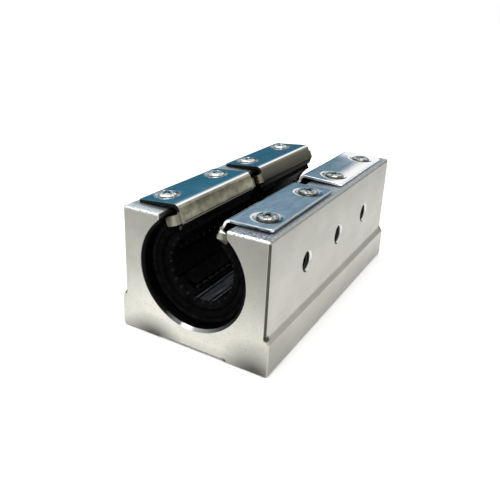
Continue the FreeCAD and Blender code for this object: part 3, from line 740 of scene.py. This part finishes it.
def cage_resin():
    """Black moulded resin, with a painted sheen on the lower land, which is shaded as metal, a thin
    line of painted shade near each side of it and a painted highlight along its edges.
    """
    finish = Finish("black cage resin", 0.0, 0.06, LOW_BENDING)
    mottle = finish.noise(finish.millimetres, 0.5, 4.0, 0.6)
    lines = finish.noise(finish.stretched((4.0, 0.10, 4.0)), 1.0, 3.0, 0.6)
    tint = finish.mix(finish.levels(mottle, 0.4, 0.7), *RESIN)
    low = finish.levels(finish.z, SHAFT_HEIGHT - 8.0, SHAFT_HEIGHT - 9.0)
    half = LOWER_LAND_HALF_WIDTH
    groove = finish.band(finish.side, 1.5, 1.7, 2.0, 2.2)
    top = finish.both(low, finish.levels(finish.upwards, 0.5, 0.8),
                      finish.levels(finish.side, half + 0.3, half))
    edge = finish.both(low, finish.band(finish.side, half - 0.35, half - 0.2,
                                        half + 0.2, half + 0.35))
    land = finish.either(top, edge)
    land_sheen_colour = finish.painted(finish.mix(finish.levels(lines, 0.40, 0.60), *LAND_SHEEN),
                                 (groove, LAND_GROOVE_SHADE), (edge, LAND_EDGE_HIGHLIGHT))
    # Painted sheen: the lower land is shaded as metal.
    finish.put(finish.shader.inputs["Metallic"], land)
    finish.relief(lines, 0.015)
    roughness = finish.blend(land, 0.42, finish.levels(lines, 0.3, 0.7, 0.24, 0.36))
    return finish.done(finish.mix(land, tint, land_sheen_colour), roughness)


def polished_ball():
    """Ground and lapped bearing steel in painted shade, nearly black inside the bore."""
    finish = Finish("polished ball steel", 1.0)
    ball_mottle = finish.noise(finish.millimetres, 0.8, 3.0, 0.6)
    colour = finish.mix(finish.levels(ball_mottle, 0.4, 0.7), *SHADED_BALL)
    finish.relief(ball_mottle, 0.004)
    return finish.done(colour, finish.levels(ball_mottle, 0.3, 0.7, 0.34, 0.46))


def pale_floor():
    """Nearly white and matt."""
    finish = Finish("pale floor", 0.0, 0.2)
    cloud = finish.noise(finish.millimetres, 0.01, 2.0)
    return finish.done(finish.mix(finish.levels(cloud, 0.3, 0.7), *FLOOR), 0.7)


# --- Pieces taken over from the model --------------------------

MERGE_DISTANCE = 0.5e-6
CREASE_ANGLE = math.radians(28)


def link(piece):
    bpy.context.scene.collection.objects.link(piece)
    return piece


def settled(piece):
    """Swaps a piece's live modifiers for the mesh that they make."""
    graph = bpy.context.evaluated_depsgraph_get()
    graph.update()
    evaluated = piece.evaluated_get(graph)
    mesh = bpy.data.meshes.new_from_object(evaluated, preserve_all_data_layers=True,
                                           depsgraph=graph)
    piece.modifiers.clear()
    piece.data = mesh
    return piece


def stands_for(piece, slot, *nodes):
    """Puts a piece on the body, in the place of the given nodes, which it hides. Its slot is not
    used.
    """
    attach(piece, BODY)
    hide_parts(*nodes)


def dressed(node, slot, material):
    """A merged, smooth-shaded copy of a node's mesh, with its creases kept, that stands for it."""
    shape = bmesh.new()
    shape.from_mesh(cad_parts[node].data)
    bmesh.ops.remove_doubles(shape, verts=shape.verts, dist=MERGE_DISTANCE)
    for face in shape.faces:
        face.smooth = True
        face.material_index = 0
    for edge in shape.edges:
        edge.smooth = len(edge.link_faces) == 2 and edge.calc_face_angle(0.0) < CREASE_ANGLE
    mesh = bpy.data.meshes.new(node + "_surface")
    shape.to_mesh(mesh)
    shape.free()
    mesh.materials.append(material)
    piece = link(bpy.data.objects.new(node + "_surface", mesh))
    weighted = piece.modifiers.new("flat faces stay flat", "WEIGHTED_NORMAL")
    weighted.keep_sharp = True
    stands_for(settled(piece), slot, node)


# --- Pieces that Geometry Nodes make ---------------------------

SIZE_SOCKETS = {int: "NodeSocketInt", Vector: "NodeSocketVector"}


class PieceTree(Graph):
    """A Geometry Nodes tree that makes a piece, with named sizes as its inputs."""

    def __init__(self, name, sizes):
        super().__init__(bpy.data.node_groups.new(name, "GeometryNodeTree"))
        self.sizes = sizes
        self.identifiers = {}
        self.tree.interface.new_socket("Places", in_out="INPUT",
                                       socket_type="NodeSocketGeometry")
        for label, value in sizes.items():
            self.identify(label, SIZE_SOCKETS.get(type(value), "NodeSocketFloat"))
        self.identify("Material", "NodeSocketMaterial")
        self.tree.interface.new_socket("Geometry", in_out="OUTPUT",
                                       socket_type="NodeSocketGeometry")
        self.inputs = self.add("NodeGroupInput").outputs

    def identify(self, label, kind):
        """Adds a named input and notes the identifier that sets it."""
        socket = self.tree.interface.new_socket(label, in_out="INPUT", socket_type=kind)
        self.identifiers[label] = socket.identifier

    def finish(self, shape):
        """Ends the tree: real meshes with the piece's material."""
        real = self.add("GeometryNodeRealizeInstances", {0: shape})
        painted = self.add("GeometryNodeSetMaterial", {
            0: real.outputs[0], "Material": self.inputs["Material"]})
        self.add("NodeGroupOutput", {0: painted.outputs[0]})

    def creased(self, shape):
        """Smooth shading, with the edges above the crease angle kept sharp."""
        angle = self.add("GeometryNodeInputMeshEdgeAngle").outputs[0]
        soft = self.add("FunctionNodeCompare", {0: angle, 1: CREASE_ANGLE}, operation="LESS_THAN")
        faces = self.add("GeometryNodeSetShadeSmooth", {0: shape}, domain="FACE")
        edges = self.add("GeometryNodeSetShadeSmooth", {
            0: faces.outputs[0], "Shade Smooth": soft.outputs[0]}, domain="EDGE")
        return edges.outputs[0]

    def piece(self, name, material, places=()):
        """The plain mesh that the tree makes with its sizes, a material and its places, if any."""
        mesh = bpy.data.meshes.new(name)
        mesh.from_pydata(list(places), [], [])
        piece = link(bpy.data.objects.new(name, mesh))
        modifier = piece.modifiers.new(name, "NODES")
        modifier.node_group = self.tree
        for label, value in self.sizes.items():
            modifier[self.identifiers[label]] = value
        modifier[self.identifiers["Material"]] = material
        mesh = settled(piece).data
        mesh.materials.clear()
        mesh.materials.append(material)
        mesh.polygons.foreach_set("material_index", [0] * len(mesh.polygons))
        return piece


# --- Clip screws -----------------------------------------------

# Bright plate, worn plate and how far the rim darkens as painted shade; the left screws are painted
# lighter than the right ones, as painted light.
SCREW_LIGHT_AND_SHADE = {
    "left": ((0.92, 0.93, 0.91), (0.42, 0.43, 0.41), 0.35),
    "right": ((0.72, 0.73, 0.69), (0.20, 0.205, 0.19), 0.80),
}
HEAD_SHARE = {"left": 0.86, "right": 0.90}
HEAD_SEGMENTS = 48
HEAD_RINGS = 14
HEAD_HEIGHT = 1.25 * MM
CROWN_SQUARENESS = 3.4
RECESS_SPAN = 3.4 * MM
RECESS_WIDTH = 0.8 * MM
RECESS_DEPTH = 0.8 * MM
RECESS_TILT = 0.35
WELD_DISTANCE = 0.001 * MM
SCREW_TILT = 0.004
FIRST_SEED = 3


def screw_tree(sizes):
    """Pan-head screws with a tapered cross recess, one at each of two places along a clip."""
    tree = PieceTree("clip screw", sizes)
    size = tree.inputs
    grid = tree.add("GeometryNodeMeshGrid", {
        "Size X": 1.0, "Size Y": 1.0, "Vertices X": HEAD_RINGS, "Vertices Y": HEAD_SEGMENTS + 1})
    across, around, _ = tree.split(tree.add("GeometryNodeInputPosition").outputs[0])
    slope = tree.math("MULTIPLY", tree.math("ADD", across, 0.5), math.pi / 2)
    turn = tree.math("MULTIPLY", around, 2 * math.pi)
    power = tree.math("DIVIDE", 2.0, size["Crown Squareness"])
    radius = tree.math("MULTIPLY", size["Head Radius"],
                       tree.math("POWER", tree.math("ABSOLUTE", tree.math("SINE", slope)), power))
    height = tree.math("MULTIPLY", size["Head Height"],
                       tree.math("POWER", tree.math("ABSOLUTE", tree.math("COSINE", slope)), power))
    dome_place = tree.vector(tree.math("MULTIPLY", radius, tree.math("COSINE", turn)),
                             tree.math("MULTIPLY", radius, tree.math("SINE", turn)), height)
    dome = tree.add("GeometryNodeSetPosition", {0: grid.outputs[0], "Position": dome_place})
    whole_base = tree.add("GeometryNodeMeshCircle", {
        "Vertices": HEAD_SEGMENTS, "Radius": size["Head Radius"]}, fill_type="NGON")
    turned_base = tree.add("GeometryNodeFlipFaces", {0: whole_base.outputs[0]})
    joined = tree.add("GeometryNodeJoinGeometry")
    for part in (dome.outputs[0], turned_base.outputs[0]):
        tree.tree.links.new(part, joined.inputs[0])
    head = tree.add("GeometryNodeMergeByDistance", {
        0: joined.outputs[0], "Distance": WELD_DISTANCE})
    depth = size["Recess Depth"]
    span = size["Recess Span"]
    width = size["Recess Width"]
    arms = tree.add("GeometryNodeJoinGeometry")
    for long, short in ((span, width), (width, span)):
        box = tree.add("GeometryNodeMeshCube", {
            0: tree.vector(long, short, tree.math("MULTIPLY", depth, 2.0))})
        tree.tree.links.new(box.outputs[0], arms.inputs[0])
    arm_place = tree.add("GeometryNodeInputPosition").outputs[0]
    arm_height = tree.split(arm_place)[2]
    flare = tree.math("ADD", 1.0, tree.math("MULTIPLY", RECESS_TILT,
                                            tree.math("DIVIDE", arm_height, depth)))
    flared = tree.vector_math("MULTIPLY", arm_place, tree.vector(flare, flare, 1.0))
    raised = tree.vector_math("ADD", flared, tree.vector(0.0, 0.0, size["Head Height"]))
    cutter = tree.add("GeometryNodeSetPosition", {0: arms.outputs[0], "Position": raised})
    cut = tree.add("GeometryNodeMeshBoolean", {
        0: head.outputs[0], 1: cutter.outputs[0], "Self Intersection": True},
        operation="DIFFERENCE", solver="EXACT")
    places = tree.add("GeometryNodeMeshLine", {
        "Count": 2, "Start Location": size["First Place"],
        "Offset": tree.vector(0.0, size["Spacing"])}, mode="OFFSET")
    spin = tree.add("FunctionNodeRandomValue", {
        "Min": Vector((-SCREW_TILT, -SCREW_TILT, 0.0)),
        "Max": Vector((SCREW_TILT, SCREW_TILT, 2 * math.pi)),
        "Seed": size["Seed"]}, data_type="FLOAT_VECTOR")
    screws = tree.add("GeometryNodeInstanceOnPoints", {
        0: places.outputs[0], "Instance": tree.creased(cut.outputs[0]),
        "Rotation": spin.outputs[0]})
    tree.finish(screws.outputs[0])
    return tree


def make_clip_screws():
    for number, end in enumerate(ENDS):
        for side in SIDES:
            node = "clip_screws_" + end + "_" + side
            low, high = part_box(node)
            seat_radius = (high.x - low.x) / 2
            sizes = {
                "First Place": Vector(((low.x + high.x) / 2, low.y + seat_radius,
                                       high.z - HEAD_HEIGHT)),
                "Spacing": high.y - low.y - 2 * seat_radius,
                "Head Radius": seat_radius * HEAD_SHARE[side],
                "Head Height": HEAD_HEIGHT,
                "Crown Squareness": CROWN_SQUARENESS,
                "Recess Span": RECESS_SPAN,
                "Recess Width": RECESS_WIDTH,
                "Recess Depth": RECESS_DEPTH,
                "Seed": FIRST_SEED + number * len(SIDES) + SIDES.index(side),
            }
            material = plated_screw(end + " " + side, high.z / MM, *SCREW_LIGHT_AND_SHADE[side])
            piece = screw_tree(sizes).piece("screw_heads_" + end + "_" + side, material)
            stands_for(piece, "screw_nickel", node)


# --- Balls -----------------------------------------------------

BALL_SEGMENTS = 14
BALL_RINGS = 9
CIRCUITS = 4


def ball_tree(radius):
    """A ball at each of the given places, with fewer faces than the model's."""
    tree = PieceTree("bearing ball", {"Ball Radius": radius})
    ball = tree.add("GeometryNodeMeshUVSphere", {
        "Segments": BALL_SEGMENTS, "Rings": BALL_RINGS, "Radius": tree.inputs["Ball Radius"]})
    smooth = tree.add("GeometryNodeSetShadeSmooth", {0: ball.outputs[0]}, domain="FACE")
    balls = tree.add("GeometryNodeInstanceOnPoints", {
        0: tree.inputs["Places"], "Instance": smooth.outputs[0]})
    tree.finish(balls.outputs[0])
    return tree


def ball_places(node):
    """The centre and radius of each ball in a node's mesh."""
    shape = bmesh.new()
    shape.from_mesh(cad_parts[node].data)
    bmesh.ops.remove_doubles(shape, verts=shape.verts, dist=MERGE_DISTANCE)
    places, radii, seen = [], [], set()
    for start in shape.verts:
        if start.index in seen:
            continue
        ball, waiting = [], [start]
        seen.add(start.index)
        while waiting:
            vertex = waiting.pop()
            ball.append(vertex.co)
            for edge in vertex.link_edges:
                other = edge.other_vert(vertex)
                if other.index not in seen:
                    seen.add(other.index)
                    waiting.append(other)
        low = Vector(min(point[axis] for point in ball) for axis in range(3))
        high = Vector(max(point[axis] for point in ball) for axis in range(3))
        places.append((low + high) / 2)
        radii.append(min(high - low) / 2)
    shape.free()
    return places, min(radii)


def make_balls(material):
    for end in ENDS:
        for row in range(1, CIRCUITS + 1):
            label = end + "_" + str(row)
            node = "ball_row_" + label
            places, radius = ball_places(node)
            piece = ball_tree(radius).piece("balls_" + label, material, places)
            stands_for(piece, "ball_steel", node)


# --- Threads ---------------------------------------------------

THREAD_SIDES = 40
THREAD_PITCH = 1.0 * MM
THREAD_RIDGE = 0.16 * MM
RIDGE_IN_WALL = 0.35
TAPPED_RADIUS = 2.5 * MM
SIDE_THREAD_START = 20.7
SIDE_THREAD_LENGTH = 1.3 * MM
PORT_THREAD_START = 16.3
PORT_THREAD_LENGTH = 5.6 * MM
BASE_THREAD_START = 1.4
BASE_THREAD_LENGTH = 10.0 * MM
BASE_HOLES = (17.5, 35.0)


def thread_tree(sizes):
    """A thread ridge on the wall of each tapped hole, at places that share one direction."""
    tree = PieceTree("tapped thread", sizes)
    size = tree.inputs
    turns = tree.math("DIVIDE", size["Length"], size["Pitch"])
    inner = tree.math("SUBTRACT", size["Hole Radius"],
                      tree.math("MULTIPLY", size["Ridge"], RIDGE_IN_WALL))
    helix = tree.add("GeometryNodeCurveSpiral", {
        "Resolution": THREAD_SIDES, "Rotations": turns, "Start Radius": inner, "End Radius": inner,
        "Height": size["Length"]})
    ridge = tree.add("GeometryNodeCurvePrimitiveCircle", {
        "Resolution": 3, "Radius": size["Ridge"]}, mode="RADIUS")
    thread = tree.add("GeometryNodeCurveToMesh", {
        "Curve": helix.outputs[0], "Profile Curve": ridge.outputs[0], "Fill Caps": True})
    threads = tree.add("GeometryNodeInstanceOnPoints", {
        0: size["Places"], "Instance": tree.creased(thread.outputs[0]), "Rotation": size["Turn"]})
    tree.finish(threads.outputs[0])
    return tree


def make_threads(material):
    """Threads in the side holes, from the countersink to the screw or the bore, and in the base."""
    to_the_side = Vector((0.0, math.pi / 2, 0.0))
    upwards = Vector((0.0, 0.0, 0.0))
    wide, long = BASE_HOLES
    plans = {
        "side_hole_threads": (to_the_side, SIDE_THREAD_LENGTH, [
            (SIDE_THREAD_START, y, SIDE_HOLE_HEIGHT)
            for y in (-SIDE_HOLE_SPACING, SIDE_HOLE_SPACING)]),
        "port_thread": (to_the_side, PORT_THREAD_LENGTH, [
            (PORT_THREAD_START, 0.0, SIDE_HOLE_HEIGHT)]),
        "base_hole_threads": (upwards, BASE_THREAD_LENGTH, [
            (x, y, BASE_THREAD_START) for x in (-wide, wide) for y in (-long, long)]),
    }
    for name, (turn, length, places) in plans.items():
        sizes = {"Turn": turn, "Length": length, "Pitch": THREAD_PITCH,
                 "Hole Radius": TAPPED_RADIUS, "Ridge": THREAD_RIDGE}
        piece = thread_tree(sizes).piece(name, material, [Vector(place) * MM for place in places])
        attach(piece, BODY)


# --- Stage and light -------------------------------------------

FLOOR_REACH = 6.0
FLOOR_DROP = 0.02 * MM

# The studio's colours by height above the horizon, 0 to 1, on each side
BLUE_BANDS = [
    (0.0, (0.05, 0.055, 0.04)),
    (0.135, (0.10, 0.16, 0.18)),
    (0.155, (0.04, 0.145, 0.225)),
    (0.235, (0.035, 0.19, 0.30)),
    (0.290, (0.24, 0.37, 0.47)),
    (0.360, (0.34, 0.49, 0.61)),
    (0.450, (0.55, 0.66, 0.75)),
    (0.550, (0.90, 0.92, 0.94)),
]
OLIVE_BANDS = [
    (0.0, (0.04, 0.045, 0.03)),
    (0.090, (0.045, 0.05, 0.035)),
    (0.103, (0.13, 0.135, 0.10)),
    (0.118, (0.28, 0.275, 0.21)),
    (0.150, (0.34, 0.33, 0.26)),
    (0.210, (0.70, 0.70, 0.67)),
    (0.270, (0.95, 0.95, 0.95)),
]
# Where the blue side gives way to the olive one, as the sideways share of a direction
OLIVE_FROM, OLIVE_TO = -0.29, -0.17

# Each light's direction, spread and strength
OVERHEAD = ((0.05, -0.25, 1.0), math.radians(50), 1.9)
FRONT_FILL = ((-0.5, -0.8, 0.5), math.radians(60), 0.5)


def make_floor():
    mesh = bpy.data.meshes.new("floor")
    corners = [Vector((x * FLOOR_REACH, y * FLOOR_REACH, -FLOOR_DROP))
               for x, y in ((-1, -1), (1, -1), (1, 1), (-1, 1))]
    mesh.from_pydata(corners, [], [(0, 1, 2, 3)])
    mesh.materials.append(pale_floor())
    link(bpy.data.objects.new("floor", mesh))


def make_sun(name, towards, spread, strength):
    """A broad even light from one direction, as a large softbox gives."""
    data = bpy.data.lights.new(name, "SUN")
    data.angle = spread
    data.energy = strength
    light = link(bpy.data.objects.new(name, data))
    light.rotation_euler = Vector(towards).to_track_quat("Z", "Y").to_euler()


def make_world():
    """A white studio with darker bands low down, blue on one side and olive on the other."""
    world = bpy.data.worlds.new("studio")
    world.use_nodes = True
    graph = Graph(world.node_tree)
    world.node_tree.nodes.clear()
    side, _, height = graph.split(graph.add("ShaderNodeTexCoord").outputs["Generated"])
    blue_side = graph.ramp(height, BLUE_BANDS)
    olive_side = graph.ramp(height, OLIVE_BANDS)
    share = graph.add("ShaderNodeMapRange", {
        "Value": side, "From Min": OLIVE_FROM, "From Max": OLIVE_TO}).outputs[0]
    sky = graph.add("ShaderNodeMix", {"Factor": share, 6: blue_side, 7: olive_side},
                    data_type="RGBA")
    background = graph.add("ShaderNodeBackground", {"Color": sky.outputs[2], "Strength": 1.0})
    white = graph.add("ShaderNodeBackground", {"Color": (1, 1, 1, 1), "Strength": 1.0})
    seen = graph.add("ShaderNodeLightPath").outputs["Is Camera Ray"]
    both = graph.add("ShaderNodeMixShader", {
        0: seen, 1: background.outputs[0], 2: white.outputs[0]})
    graph.add("ShaderNodeOutputWorld", {"Surface": both.outputs[0]})
    bpy.context.scene.world = world


# --- Assembly --------------------------------------------------

make_camera()
aluminium = machined_aluminium()
sheet = plated_sheet()
black_steel = dark_finish("oxidised bearing steel", *BLACK_STEEL,
                          roughness=0.36, specular=0.06, depth=0.01)
resin = cage_resin()
rubber = dark_finish("black seal rubber", *RUBBER,
                     roughness=0.5, specular=0.05, depth=0.02, notches=24)
ball_steel = polished_ball()
adjuster_steel = dark_finish("black oxide screw", *BLACK_OXIDE,
                             roughness=0.35, specular=0.2, depth=0.01)

dressed("housing", "housing", aluminium)
for end in ENDS:
    dressed("sleeve_" + end, "bearing_steel", black_steel)
    dressed("cage_" + end, "cage_resin", resin)
    dressed("adjusting_screw_" + end, "adjuster_steel", adjuster_steel)
    for face in ("a", "b"):
        dressed("seal_" + end + "_" + face, "seal_rubber", rubber)
    for side in SIDES:
        dressed("clip_" + end + "_" + side, "clip_steel", sheet)
make_clip_screws()
make_balls(ball_steel)
make_threads(aluminium)

make_floor()
make_world()
bpy.context.scene.view_settings.view_transform = "Standard"
make_sun("overhead softbox", *OVERHEAD)
make_sun("front fill", *FRONT_FILL)
